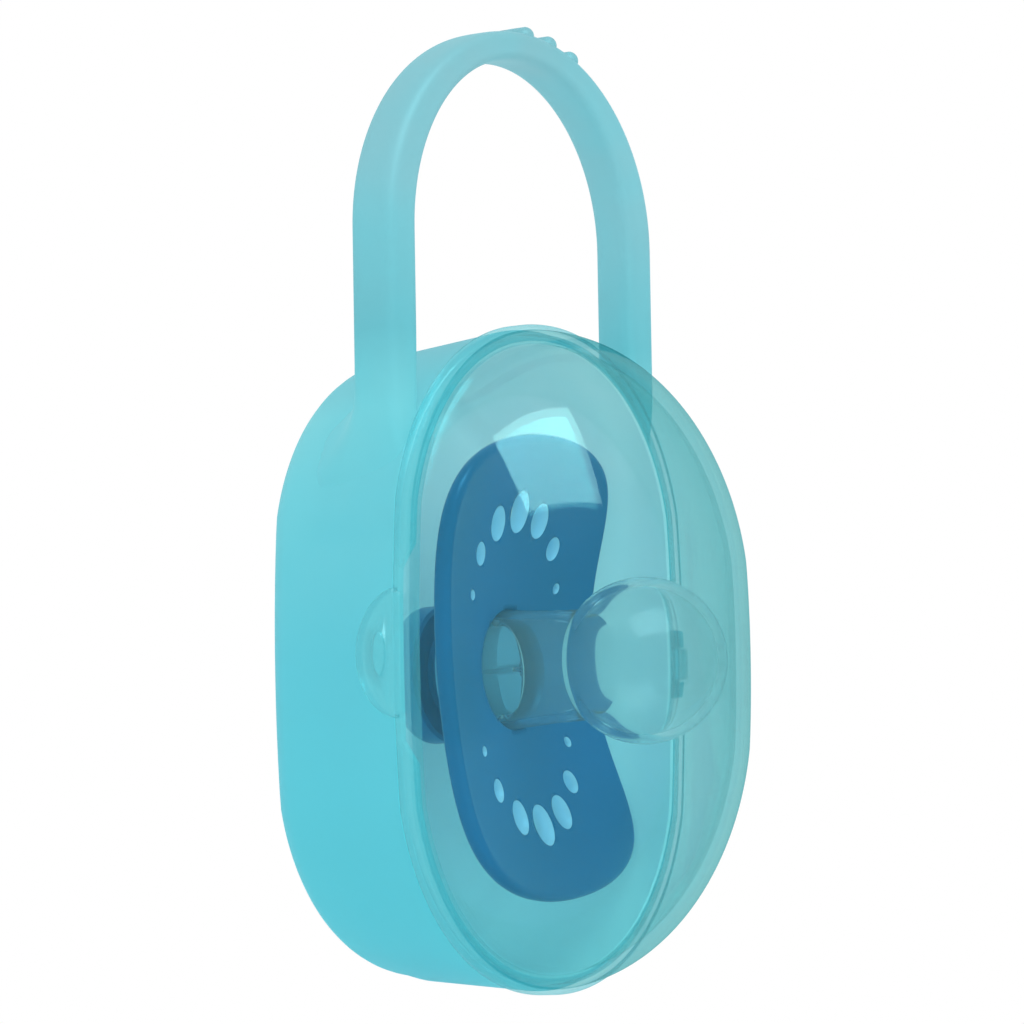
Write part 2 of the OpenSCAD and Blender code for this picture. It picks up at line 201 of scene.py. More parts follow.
LEAF_L, LEAF_T, LEAF_R, LEAF_IN = 11.4 * MM, 0.8 * MM, 2.4 * MM, 1.4 * MM
LEAF_Y = KNUCKLE_R + EAR_GAP
CATCH_W, CATCH_H, CATCH_T, CATCH_IN = 2.2 * MM, 5.4 * MM, 0.2 * MM, 0.6 * MM
CATCH_Y = 2.45 * MM
AROUND = 160
STRAIGHT_SPREAD = math.radians(14)
SHARP_EDGE = math.radians(38)


def signed_pow(v, p):
    return np.sign(v) * np.abs(v) ** p


def oval(half_w, half_h, side, y):
    """One ring of the case across Y: rounded ends joined by two straight sides."""
    t = 2 * np.pi * (np.arange(AROUND) + 0.5) / AROUND
    across = signed_pow(np.cos(t), 2 / OUTLINE_POWER)
    along = signed_pow(np.sin(t), 2 / OUTLINE_POWER)
    straight = np.clip(np.sin(t) / math.sin(STRAIGHT_SPREAD), -1, 1)
    up_and_down = (half_h - side) * along + side * straight
    return np.stack([half_w * across, np.full(AROUND, float(y)), up_and_down], axis=1)


def case_ring(inset, y, drawn=0.0):
    """The case's outline at a depth from the seam, drawn in by a share of the draft."""
    half_w, half_h = HALF_W - inset - DRAFT * drawn, HALF_H - inset - END_DRAFT * drawn
    return oval(half_w, half_h, SIDE, SEAM_Y + y)


def rounded_corner(inset, y, radius, steps=10):
    angles = [math.pi / 2 * k / steps for k in range(steps + 1)]
    return [
        case_ring(inset + radius * (1 - math.cos(a)), y - radius + radius * math.sin(a), 1)
        for a in angles
    ]


def lip_ring(inset, front):
    """A ring of the lip, which drops to the rim behind the tab."""
    ring = case_ring(inset, 0)
    for p in ring:
        behind_tab = p[0] < 0 and abs(p[2]) < LIP_CUT
        p[1] = SEAM_Y + (0 if behind_tab else front)
    return ring


def shrunk(ring, middle, shares):
    return [middle + (ring - middle) * s for s in shares]


def loft(name, rings, first=None, last=None):
    """A mesh through rings of equal count, shut by a point at either end."""
    count, rows = len(rings[0]), len(rings)
    points = [tuple(p) for r in rings for p in r]
    faces = []
    for i in range(rows - 1):
        for j in range(count):
            a, b, c = i * count + j, i * count + (j + 1) % count, (i + 1) * count
            faces.append((a, c + j, c + (j + 1) % count, b))
    for point, row, flip in ((first, 0, True), (last, rows - 1, False)):
        tip = len(points)
        points.append(tuple(point))
        for j in range(count):
            a, b = row * count + j, row * count + (j + 1) % count
            faces.append((a, b, tip) if flip else (b, a, tip))
    mesh = bpy.data.meshes.new(name)
    mesh.from_pydata(points, [], faces)
    mesh.update()
    return mesh


def arc(middle, reach, first, last, steps):
    """Points of an ellipse about a middle, from a first to a last angle in degrees."""
    return [
        (middle[0] + reach[0] * math.cos(a), middle[1] + reach[1] * math.sin(a))
        for a in [math.radians(first + (last - first) * k / steps) for k in range(steps + 1)]
    ]


def ellipse(middle, width, height, count=32):
    return arc(middle, (width / 2, height / 2), 0, 360, count)[:-1]


def rounded_rectangle(middle, width, height, radius, steps=8):
    points = []
    for quarter, (sx, sy) in enumerate(((1, 1), (-1, 1), (-1, -1), (1, -1))):
        corner = (middle[0] + sx * (width / 2 - radius), middle[1] + sy * (height / 2 - radius))
        points += arc(corner, (radius, radius), 90 * quarter, 90 * quarter + 90, steps)
    return points


def slab(name, outline, low, high, axis, round_edge=0.0):
    """A flat outline made thick along an axis, with its long edges rounded."""
    order = {"X": lambda u, v, w: (w, u, v), "Z": lambda u, v, w: (u, v, w)}[axis]
    shape = bmesh.new()
    base = [shape.verts.new(order(u, v, low)) for u, v in outline]
    top = [shape.verts.new(order(u, v, high)) for u, v in outline]
    shape.faces.new(base)
    shape.faces.new(top[::-1])
    for i in range(len(base)):
        j = (i + 1) % len(base)
        shape.faces.new((base[i], top[i], top[j], base[j]))
    if round_edge:
        rims = [e for e in shape.edges if all(v in base for v in e.verts)]
        rims += [e for e in shape.edges if all(v in top for v in e.verts)]
        bmesh.ops.bevel(
            shape, geom=rims, offset=round_edge, segments=3, affect="EDGES", profile=0.5,
            clamp_overlap=True,
        )
    mesh = bpy.data.meshes.new(name)
    shape.to_mesh(mesh)
    shape.free()
    return mesh


def finished(name, meshes, materials):
    """One smooth object from several closed meshes, with its normals turned outwards."""
    shape = bmesh.new()
    for mesh in meshes:
        shape.from_mesh(mesh)
        bpy.data.meshes.remove(mesh)
    bmesh.ops.remove_doubles(shape, verts=shape.verts, dist=1e-7)
    bmesh.ops.recalc_face_normals(shape, faces=shape.faces)
    for face in shape.faces:
        face.smooth = True
    for edge in shape.edges:
        if len(edge.link_faces) == 2 and edge.calc_face_angle(0) > SHARP_EDGE:
            edge.smooth = False
    mesh = bpy.data.meshes.new(name)
    shape.to_mesh(mesh)
    shape.free()
    for material in materials:
        mesh.materials.append(material)
    piece = bpy.data.objects.new(name, mesh)
    bpy.context.scene.collection.objects.link(piece)
    return piece


def faces_core(face, y, half_height):
    """Whether a face looks inwards, to a line that runs up the middle of the case."""
    core = Vector((0, y, min(max(face.center.z, -half_height), half_height)))
    return face.normal.dot(face.center - core) < 0


def noise(tree, size, detail):
    """Soft clouds or fine grain of a size, in the piece's own coordinates."""
    place = add(tree, "ShaderNodeTexCoord").outputs["Object"]
    settings = {"Scale": 1 / size, "Detail": detail}
    return add(tree, "ShaderNodeTexNoise", settings, Vector=place).outputs["Fac"]


def blended(tree, share, first, second):
    """A colour between two colours, each of which is a socket or a linear colour."""
    new = add(tree, "ShaderNodeMix", {"data_type": "RGBA"})
    colours = [socket for socket in new.inputs if socket.type == "RGBA"]
    feed(tree, [new.inputs["Factor"]] + colours, (share, first, second))
    return [socket for socket in new.outputs if socket.type == "RGBA"][0]


def tint_and_painted_light_by_height(tree, stops):
    """A colour that changes along the height of the case, from (height in mm, colour) stops: the
    plastic's tint with light and shade painted in by height.
    """
    low, high = stops[0][0], stops[-1][0]
    place = add(tree, "ShaderNodeTexCoord").outputs["Object"]
    height = add(tree, "ShaderNodeSeparateXYZ", None, Vector=place).outputs["Z"]
    span = {"From Min": low * MM, "From Max": high * MM}
    share = add(tree, "ShaderNodeMapRange", span, Value=height).outputs[0]
    ramp = add(tree, "ShaderNodeValToRGB", None, Fac=share)
    stop_list = ramp.color_ramp.elements
    while len(stop_list) < len(stops):
        stop_list.new(0.5)
    for stop, (height, colour) in zip(stop_list, stops):
        stop.position = (height - low) / (high - low)
        stop.color = linear(colour)
    return ramp.outputs["Color"]


def lit_through(tree, surface, colour, share):
    """The surface, through which a share of the light on its way to other surfaces passes."""
    rays = add(tree, "ShaderNodeLightPath").outputs
    inwards = maths(tree, "MAXIMUM", rays["Is Shadow Ray"], rays["Is Diffuse Ray"])
    open_way = add(tree, "ShaderNodeBsdfTransparent", {"Color": linear(colour)}).outputs[0]
    lit = layered(tree, maths(tree, "MULTIPLY", inwards, share), surface, open_way)
    add(tree, "ShaderNodeOutputMaterial", None, Surface=lit)


# Frosted polypropylene: light sinks into it, and each wall sends part of it on, so the case
# glows evenly and nothing shows through it. Its colour changes with height, and that change
# is painted light and shade. The etched mould leaves a fine grain and only a faint, broad shine.
CLOUD, GRAIN = 14 * MM, 0.35 * MM


def frosted_polypropylene(name, stops, cloud, sent_on):
    material, tree = new_material(name)
    faint = {"From Min": 0.35, "From Max": 0.75, "To Max": 0.3}
    clouds = add(tree, "ShaderNodeMapRange", faint, Value=noise(tree, CLOUD, 2.0)).outputs[0]
    # Painted light and shade: the height ramp lightens or darkens the plastic's own tint, with
    # random clouds over it.
    tint = blended(tree, clouds, tint_and_painted_light_by_height(tree, stops), linear(cloud))
    depth = {"Strength": 0.1, "Distance": 0.05 * MM}
    etched = add(tree, "ShaderNodeBump", depth, Height=noise(tree, GRAIN, 3.0)).outputs[0]
    finish = {"Roughness": 0.5, "IOR": 1.49, "Specular Tint": linear("8FE0EA")}
    body = add(tree, "ShaderNodeBsdfPrincipled", finish, Base_Color=tint, Normal=etched)
    passed = add(tree, "ShaderNodeBsdfTranslucent", None, Color=tint)
    both = layered(tree, sent_on, body.outputs[0], passed.outputs[0])
    lit_through(tree, both, "F6FDFE", 0.85)
    return material


# Painted light and shade of the light from above: the shell and handle are paler and greyer up
# towards the arch, and darker round 40 mm, where the legs leave the shoulders.
SHELL_TINTS_AND_PAINTED_LIGHT = [
    (-40, "58CAD8"), (0, "62C9D7"), (30, "7CD0D8"), (40, "6AB8C3"), (58, "80BDC7"), (79, "84B9C2"),
]
frosted = frosted_polypropylene("frosted_polypropylene", SHELL_TINTS_AND_PAINTED_LIGHT, "5CCBD8", 0.35)
# The same wall from inside, as a copy of the frosted plastic painted paler, palest towards the top:
# painted light, standing in for the light that comes in through the cover.
INSIDE_PAINTED_LIGHT_TINTS = [(-40, "A0ECF2"), (0, "C4F0F4"), (36, "F0F8F8")]
frosted_inside_painted_light = frosted_polypropylene("frosted_polypropylene_inside_painted_light", INSIDE_PAINTED_LIGHT_TINTS, "A0E4EA", 0.15)

outside = [case_ring(EDGE_R, 0), case_ring(0, EDGE_R)]
outside += [case_ring(0, REAR_D * k / 6, k / 6) for k in (1, 2, 3, 4)]
outside += rounded_corner(0, REAR_D, BACK_R)
middle_back = np.array([0, SEAM_Y + REAR_D, 0])
outside += shrunk(outside[-1], middle_back, (0.6, 0.25))
inside = rounded_corner(WALL, REAR_D - WALL, BACK_R - WALL)
middle_inside = np.array([0, SEAM_Y + REAR_D - WALL, 0])
inside = shrunk(inside[-1], middle_inside, (0.25, 0.6)) + inside[::-1]
inside += [case_ring(WALL, 8 * MM), case_ring(WALL, 0.3 * MM)]
LIP_INSET = SKIRT_T + LIP_GAP
lip = [
    lip_ring(WALL, -LIP_L + LIP_R),
    lip_ring(WALL - LIP_R, -LIP_L),
    lip_ring(LIP_INSET + LIP_R, -LIP_L),
    lip_ring(LIP_INSET, -LIP_L + LIP_R),
    case_ring(LIP_INSET, 0),
]
tray = loft("rear_tray", inside + lip + outside, middle_inside, middle_back)

leaf_outline = rounded_rectangle((SEAM_Y + LEAF_Y + LEAF_L / 2, 0), LEAF_L, HINGE_H, LEAF_R)
leaf = slab("leaf", leaf_outline, HALF_W - LEAF_IN, HALF_W + LEAF_T, "X", round_edge=0.35 * MM)
catch_outline = ellipse((SEAM_Y + CATCH_Y, 0), CATCH_W, CATCH_H)
catch = slab(
    "catch", catch_outline, -HALF_W - CATCH_T, -HALF_W + CATCH_IN, "X", round_edge=0.15 * MM
)
# Each ear is round at the pin, with an arm that runs back to the leaf.
ear_back, ear_root = SEAM_Y + LEAF_Y + LEAF_R, HALF_W - DRAFT
ear_outline = arc((HINGE_X, SEAM_Y), (KNUCKLE_R, KNUCKLE_R), -180, 0, 28)
ear_outline += [(HINGE_X + KNUCKLE_R * 0.2, ear_back), (ear_root, ear_back), (ear_root, SEAM_Y)]
ears = [
    slab("ear", ear_outline, low, low + EAR_H, "Z", round_edge=0.2 * MM)
    for low in (HINGE_H / 2 - EAR_H, -HINGE_H / 2)
]
rear_shell = finished("rear_shell_moulding", [tray, leaf, catch] + ears, [frosted, frosted_inside_painted_light])
# Faces that look inwards take the paler copy with the painted light.
for face in rear_shell.data.polygons:
    if faces_core(face, SEAM_Y + 10 * MM, SIDE) and abs(face.center.x) < HALF_W - WALL / 2:
        face.material_index = 1
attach(rear_shell, "case")
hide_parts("rear_shell")

# ---- Carry handle ----
# The arched loop, moulded in one with the rear shell: two legs that run down into the
# shoulders and flow out over them, and three grip ridges on the arch.
LEG_X, LEG_T, LEG_TOP = 24.6 * MM, 5.2 * MM, 52.6 * MM
HANDLE_D, HANDLE_Y = 6.7 * MM, SEAM_Y + 0.1 * MM
SLANT = 0.8 * MM
ARCH_RISE, ARCH_T, ARCH_STEPS = 26.1 * MM, 3.8 * MM, 80
ANKLE_Z, FOOT_Z, FOOT_IN = 33 * MM, 20.5 * MM, 1.6 * MM
LEG_LOW, LEG_STEP, LEG_RINGS = 14 * MM, 0.5 * MM, 76
SECTION_POWER, SECTION_N = 4, 144
FLARE, FLARE_POWER, SUNK = 8 * MM, 3.5, 0.6 * MM
GRIP_N, GRIP_FIRST, GRIP_STEP = 3, math.radians(65), math.radians(10)
GRIP_R, GRIP_OUT, GRIP_HALF = 1.2 * MM, 0.9 * MM, 1.812 * MM


def handle_section(outer, inner):
    """A ring of the handle between an outer and an inner point, with soft corners."""
    t = 2 * np.pi * np.arange(SECTION_N) / SECTION_N
    u = signed_pow(np.cos(t), 2 / SECTION_POWER)
    v = signed_pow(np.sin(t), 2 / SECTION_POWER)
    outer, inner = np.array(outer), np.array(inner)
    middle, reach = (outer + inner) / 2, (outer - inner) / 2
    slant = SLANT / 2 * middle[0] / (LEG_X - LEG_T / 2)
    across, along = middle[0] + reach[0] * u - slant * v, HANDLE_Y + HANDLE_D / 2 * (1 - v)
    return np.stack([across, along, middle[1] + reach[1] * u], axis=1)


def arch(t):
    outer = (LEG_X * math.cos(t), LEG_TOP + ARCH_RISE * math.sin(t))
    inner = ((LEG_X - LEG_T) * math.cos(t), LEG_TOP + (ARCH_RISE - ARCH_T) * math.sin(t))
    return outer, inner


def off_shoulder(x, y, z):
    """How far a point stands off the shell's outline, and the way outwards from there."""
    drawn = (y - SEAM_Y) / REAR_D
    half_w, end = HALF_W - DRAFT * drawn, HALF_H - END_DRAFT * drawn - SIDE
    out, up = abs(x) / half_w, max(abs(z) - SIDE, 0) / end
    value = (out**OUTLINE_POWER + up**OUTLINE_POWER) ** (1 / OUTLINE_POWER)
    rise_x = math.copysign(out ** (OUTLINE_POWER - 1) / half_w, x)
    rise_z = up ** (OUTLINE_POWER - 1) / end
    slope = Vector((rise_x, rise_z)) * value ** (1 - OUTLINE_POWER)
    return (value - 1) / slope.length, slope.normalized()


def seated(ring):
    """A ring of the leg, flared to both sides near the shoulder and sunk in it."""
    for p in ring:
        height, outwards = off_shoulder(*p)
        near = min(max(1 - height / FLARE, 0), 1)
        p[1] += (p[1] - HANDLE_Y) / HANDLE_D * FLARE * near**FLARE_POWER
        height, outwards = off_shoulder(*p)
        if height < -SUNK:
            p[0] -= outwards[0] * (height + SUNK)
            p[2] -= outwards[1] * (height + SUNK)
    return ring


leg = []
for z in [LEG_LOW + LEG_STEP * k for k in range(LEG_RINGS)]:
    sink = FOOT_IN * max(ANKLE_Z - z, 0) / (ANKLE_Z - FOOT_Z)
    leg.append(((LEG_X - sink, z), (LEG_X - LEG_T, z)))
other_leg = [((-o[0], o[1]), (-i[0], i[1])) for o, i in reversed(leg)]
stations = leg + [arch(math.pi * k / ARCH_STEPS) for k in range(ARCH_STEPS + 1)] + other_leg
bow_rings = [seated(handle_section(o, i)) for o, i in stations]
bow = loft("bow", bow_rings, bow_rings[0].mean(axis=0), bow_rings[-1].mean(axis=0))


class NodeTree:
    """A Geometry Nodes tree with named inputs, built up node by node."""

    def __init__(self, name, numbers):
        self.tree = bpy.data.node_groups.new(name, "GeometryNodeTree")
        self.tree.interface.new_socket("Part", in_out="INPUT", socket_type="NodeSocketObject")
        self.keys = {}
        for label, value in numbers.items():
            kind = "NodeSocketInt" if isinstance(value, int) else "NodeSocketFloat"
            new = self.tree.interface.new_socket(label, in_out="INPUT", socket_type=kind)
            self.keys[label] = new.identifier
        self.tree.interface.new_socket("Geometry", in_out="OUTPUT", socket_type="NodeSocketGeometry")
        self.values = numbers
        self.entry = self.tree.nodes.new("NodeGroupInput").outputs
        self.index = self.tree.nodes.new("GeometryNodeInputIndex").outputs[0]

    def math(self, operation, *terms):
        """A Math node whose terms are sockets, numbers or names of the tree's inputs."""
        known = [self.entry[term] if isinstance(term, str) else term for term in terms]
        return maths(self.tree, operation, *known)

    def scatter(self, count, x, z, turn, material, size=None):
        """Copies of the part, one a point, at (x, z), turned about Y and sized in X and Z."""
        spot = add(self.tree, "ShaderNodeCombineXYZ", None, X=x, Z=z).outputs[0]
        points = add(self.tree, "GeometryNodePoints", None, Count=self.entry[count], Position=spot)
        part = add(self.tree, "GeometryNodeObjectInfo", None, Object=self.entry["Part"])
        turns = add(self.tree, "ShaderNodeCombineXYZ", None, Y=turn)
        full = add(self.tree, "ShaderNodeCombineXYZ", {"X": 1.0, "Y": 1.0, "Z": 1.0})
        if size is not None:
            feed(self.tree, [full.inputs["X"], full.inputs["Z"]], (size, size))
        copies = add(
            self.tree, "GeometryNodeInstanceOnPoints", None, Points=points.outputs[0],
            Instance=part.outputs["Geometry"], Rotation=turns.outputs[0], Scale=full.outputs[0],
        )
        plain = add(self.tree, "GeometryNodeRealizeInstances", None, Geometry=copies.outputs[0])
        painted = add(self.tree, "GeometryNodeSetMaterial", None, Geometry=plain.outputs[0])
        painted.inputs["Material"].default_value = material
        end = self.tree.nodes.new("NodeGroupOutput")
        self.tree.links.new(painted.outputs[0], end.inputs[0])

    def mesh(self, part_mesh):
        """The plain mesh that the tree makes of copies of a part. It has no material slots,
        since the piece that takes it in has its own."""
        part = bpy.data.objects.new("part", part_mesh)
        holder = bpy.data.objects.new("holder", bpy.data.meshes.new("holder"))
        for used in (part, holder):
            bpy.context.scene.collection.objects.link(used)
        scatter = holder.modifiers.new("scatter", "NODES")
        scatter.node_group = self.tree
        scatter[self.tree.interface.items_tree["Part"].identifier] = part
        for label, key in self.keys.items():
            scatter[key] = self.values[label]
        settle(holder)
        result = holder.data
        for used in (part, holder):
            bpy.data.objects.remove(used)
        result.materials.clear()
        return result


def settle(piece):
    """Turns what the modifiers make of a piece into its own plain mesh."""
    bpy.context.view_layer.update()
    evaluated = piece.evaluated_get(bpy.context.evaluated_depsgraph_get())
    result = bpy.data.meshes.new_from_object(evaluated)
    piece.modifiers.clear()
    piece.data = result


# A ridge is a ball pulled out along the width of the arch.
shape = bmesh.new()
bmesh.ops.create_uvsphere(shape, u_segments=32, v_segments=16, radius=GRIP_R)
for v in shape.verts:
    v.co.z += math.copysign(GRIP_HALF, v.co.z) if v.co.z else 0
bmesh.ops.rotate(shape, verts=shape.verts, matrix=Matrix.Rotation(math.pi / 2, 3, "X"))
ridge = bpy.data.meshes.new("ridge")
shape.to_mesh(ridge)
shape.free()

grips = NodeTree(
    "grip_ridges",
    {"Count": GRIP_N, "First": GRIP_FIRST, "Step": GRIP_STEP, "Half Width": LEG_X,
     "Rise": ARCH_RISE, "Foot": LEG_TOP, "Sunk": GRIP_R - GRIP_OUT},
)
angle = grips.math("ADD", grips.math("MULTIPLY", grips.index, "Step"), "First")
across = grips.math("COSINE", angle)
upwards = grips.math("SINE", angle)
lean = grips.math(
    "ARCTAN2", grips.math("DIVIDE", upwards, "Rise"), grips.math("DIVIDE", across, "Half Width")
)
crest_x = grips.math("MULTIPLY", across, "Half Width")
crest_z = grips.math("ADD", grips.math("MULTIPLY", upwards, "Rise"), "Foot")
grip_x = grips.math("SUBTRACT", crest_x, grips.math("MULTIPLY", grips.math("COSINE", lean), "Sunk"))
grip_z = grips.math("SUBTRACT", crest_z, grips.math("MULTIPLY", grips.math("SINE", lean), "Sunk"))
grips.scatter("Count", grip_x, grip_z, grips.math("MULTIPLY", lean, -1.0), frosted)
grip_ridges = grips.mesh(ridge)
grip_ridges.transform(Matrix.Translation((0, HANDLE_Y + HANDLE_D / 2, 0)))
carry_handle = finished("carry_handle_bow", [bow, grip_ridges], [frosted])
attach(carry_handle, "case")
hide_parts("carry_handle")

# ---- Front cover ----
# The domed half, moulded in clear tinted polypropylene and polished, with a raised band
# round its edge and the half-round tab for the thumb. Its knuckle turns on the hinge pin.
COVER_D, DOME_POWER, TIP_SIDE, DOME_STEPS = 27.8 * MM, 2.06, 9 * MM, 60
SEAM_GAP, BAND_W, BAND_SLOPE, BAND_R = 0.3 * MM, 2.3 * MM, 0.25 * MM, 0.1 * MM
BAND_FRONT = -(SEAM_GAP + BAND_W)
TAB_H, TAB_REACH, TAB_T, TAB_GAP = 15.1 * MM, 4.9 * MM, 1.2 * MM, 0.4 * MM
TAB_OVER = TAB_REACH + SEAM_GAP
TAB_R = ((TAB_H / 2) ** 2 + TAB_OVER**2) / (2 * TAB_OVER)
TAB_MIDDLE = SEAM_Y + TAB_REACH - TAB_R
TAB_OUT, TAB_IN = -HALF_W - TAB_GAP - TAB_T, -HALF_W - TAB_GAP
ROOT_IN, ROOT_R = 0.05 * MM, 0.5 * MM
RIDGE_W, RIDGE_H, RIDGE_T, RIDGE_Y = 2.2 * MM, 5.4 * MM, 0.4 * MM, 0.784 * MM


def dome_ring(off, y):
    part = -y / (COVER_D - off)
    k = (1 - part**DOME_POWER) ** (1 / DOME_POWER)
    side = SIDE + (TIP_SIDE - SIDE) * part ** (DOME_POWER / 2)
    return oval((HALF_W - off) * k, (HALF_H - off) * k, side * k, SEAM_Y + y)


def dome_rings(off):
    """The rings of the dome from its tip to the band, a wall's thickness in or none."""
    depth = COVER_D - off
    low = math.asin((-BAND_FRONT / depth) ** (DOME_POWER / 2))
    turns = [math.pi / 2 - (math.pi / 2 - low) * i / DOME_STEPS for i in range(1, DOME_STEPS + 1)]
    return [dome_ring(off, -depth * math.sin(t) ** (2 / DOME_POWER)) for t in turns]


band = [
    case_ring(-BAND_H + BAND_R, BAND_FRONT + BAND_R),
    case_ring(-BAND_H, BAND_FRONT + BAND_SLOPE),
    case_ring(-BAND_H, -SEAM_GAP - BAND_SLOPE),
    case_ring(-BAND_H + BAND_R, -SEAM_GAP - BAND_R * 0.7),
    case_ring(-BAND_H + BAND_SLOPE, -SEAM_GAP),
    case_ring(SKIRT_T - BAND_R, -SEAM_GAP),
    case_ring(SKIRT_T, -SEAM_GAP - BAND_R),
    case_ring(SKIRT_T, BAND_FRONT),
]
tip, inner_tip = (0, SEAM_Y - COVER_D, 0), (0, SEAM_Y - COVER_D + WALL, 0)
dome = loft("dome", dome_rings(0) + band + dome_rings(WALL)[::-1], tip, inner_tip)

root_y = SEAM_Y + BAND_FRONT + BAND_W / 2
tab_turn = math.degrees(math.acos((root_y - TAB_MIDDLE) / TAB_R))
tab_outline = arc((TAB_MIDDLE, 0), (TAB_R, TAB_R), -tab_turn, tab_turn, 48)
tab = slab("tab", tab_outline, TAB_OUT, TAB_IN, "X", round_edge=0.4 * MM)
root_half = math.sqrt(TAB_R**2 - (SEAM_Y - SEAM_GAP - TAB_MIDDLE) ** 2)
root_outline = rounded_rectangle((root_y, 0), BAND_W * 0.98, 2 * root_half * 0.99, ROOT_R)
root = slab(
    "root", root_outline, TAB_OUT + ROOT_IN, -HALF_W + SKIRT_T / 2, "X", round_edge=0.3 * MM
)
thumb_outline = ellipse((SEAM_Y + RIDGE_Y, 0), RIDGE_W, RIDGE_H, 40)
thumb_ridge = slab(
    "thumb_ridge", thumb_outline, TAB_OUT - RIDGE_T, TAB_OUT + RIDGE_T, "X", round_edge=0.25 * MM
)
knuckle_root, knuckle_front = HALF_W - SKIRT_T / 2, SEAM_Y + BAND_FRONT
knuckle_outline = arc((HINGE_X, SEAM_Y), (KNUCKLE_R, KNUCKLE_R), -90, 150, 32)
knuckle_outline += [(knuckle_root, SEAM_Y - SEAM_GAP), (knuckle_root, knuckle_front)]
knuckle_outline += [(HINGE_X, knuckle_front)]
knuckle = slab(
    "knuckle", knuckle_outline, -KNUCKLE_H / 2, KNUCKLE_H / 2, "Z", round_edge=0.15 * MM
)


# Clear polypropylene, polished in the mould: a thin wall that tints what lies inside, the
# more the more slantwise one looks through it, under a glossy skin. Lamps shine through it.
def clear_polypropylene(name, colour, deep, veil, veil_share, roughness=0.05, gloss="A4E0DA"):
    material, tree = new_material(name)
    wavy = {"Strength": 0.06, "Distance": 0.3 * MM}
    ripple = add(tree, "ShaderNodeBump", wavy, Height=noise(tree, 25 * MM, 1.0)).outputs[0]
    slant = add(tree, "ShaderNodeLayerWeight", {"Blend": 0.5}).outputs["Facing"]
    steep = maths(tree, "POWER", slant, 2.0)
    tint = blended(tree, steep, linear(colour), linear(deep))
    clear = add(tree, "ShaderNodeBsdfTransparent", None, Color=tint)
    milk = add(tree, "ShaderNodeBsdfPrincipled", {"Base Color": linear(veil), "Roughness": 0.4})
    body = layered(tree, veil_share, clear.outputs[0], milk.outputs[0])
    finish = {"Color": linear(gloss), "Roughness": roughness}
    shine = add(tree, "ShaderNodeBsdfAnisotropic", finish, Normal=ripple)
    mirrored = add(tree, "ShaderNodeFresnel", {"IOR": 1.33}).outputs[0]
    skin = layered(tree, maths(tree, "MINIMUM", mirrored, 0.2), body, shine.outputs[0])
    lit_through(tree, skin, "F4FCFC", 1.0)
    return material


def united(name, meshes, materials, edge_from):
    """Closed meshes joined into one skin, with no inner walls. Faces behind a place along Y
    take the second material."""
    main = finished(name, meshes[:1], materials)
    added = finished("added", meshes[1:], materials)
    for piece in (main, added):
        for face in piece.data.polygons:
            face.material_index = int(piece is added or face.center.y > edge_from)
    join = main.modifiers.new("join", "BOOLEAN")
    join.operation, join.object, join.solver, join.use_self = "UNION", added, "EXACT", True
    settle(main)
    bpy.data.objects.remove(added)
    return main


polished = clear_polypropylene("clear_polypropylene", "C6EAEE", "A0D1D6", "6FCAD6", 0.04)
polished_rim = clear_polypropylene(
    "clear_polypropylene_rim", "E6F7F8", "D4EFF2", "74CCD6", 0.25, roughness=0.15, gloss="8CD8E0"
)
# The whole tint lies on the outer face, so that the wall looks even right to its edge.
polished_inside = clear_polypropylene(
    "clear_polypropylene_inside", "FCFEFE", "F2FAFB", "6FCAD6", 0.0
)
cover_meshes = [dome, tab, root, thumb_ridge, knuckle]
behind_dome = SEAM_Y + BAND_FRONT - 0.05 * MM
cover = united("front_cover_dome", cover_meshes, [polished, polished_rim], behind_dome)
cover.data.materials.append(polished_inside)
for face in cover.data.polygons:
    if face.material_index == 0 and faces_core(face, SEAM_Y, TIP_SIDE):
        face.material_index = 2
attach(cover, "cover")
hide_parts("front_cover")

# ---- Hinge pin ----
# A plain moulded pin of the same polypropylene as the rear shell. It is pressed into the
# shell's two ears, and the cover's knuckle turns on it.
pin_outline = ellipse((HINGE_X, SEAM_Y), 2 * PIN_R, 2 * PIN_R)
rod = slab("rod", pin_outline, -HINGE_H / 2, HINGE_H / 2, "Z", round_edge=0.12 * MM)
pin = finished("hinge_pin_rod", [rod], [frosted])
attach(pin, "case")
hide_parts("hinge_pin")

# ---- Pacifier shield ----
# The mouth shield, injection-moulded in glossy blue plastic: two lobes over a narrower
# waist, bowed round the face, with seven oval air holes in each lobe. The teat's neck
# goes through its bore.
PAC_PLACE = Vector((0, SEAM_Y + 5.16 * MM, -1.1 * MM))
PAC_TURN, PAC_LEAN = math.radians(12), math.radians(-5)
in_pacifier = (
    Matrix.Translation(PAC_PLACE)
    @ Matrix.Rotation(PAC_LEAN, 4, "Y")
    @ Matrix.Rotation(PAC_TURN, 4, "Z")
)
WAIST_W, LOBE_GAIN, SHIELD_H, SHIELD_T = 35 * MM, 1.0, 58 * MM, 2.4 * MM
LOBE_POWER = 0.86
BEND_X, BEND_Z = 80 * MM, 65 * MM
SHIELD_AROUND, SHIELD_RINGS, RIM_FROM = 216, 36, 0.94
COLLAR_R, BORE_R = 10.4 * MM, 7.65 * MM
HOLE_N, HOLE_STEP = 7, math.radians(15.5)
HOLE_FAR, HOLE_NEAR, HOLE_L, HOLE_W = 19.5 * MM, 5.5 * MM, 5.2 * MM, 4.2 * MM
HOLE_SMALLER, HOLE_FADE = 0.72, 1.4


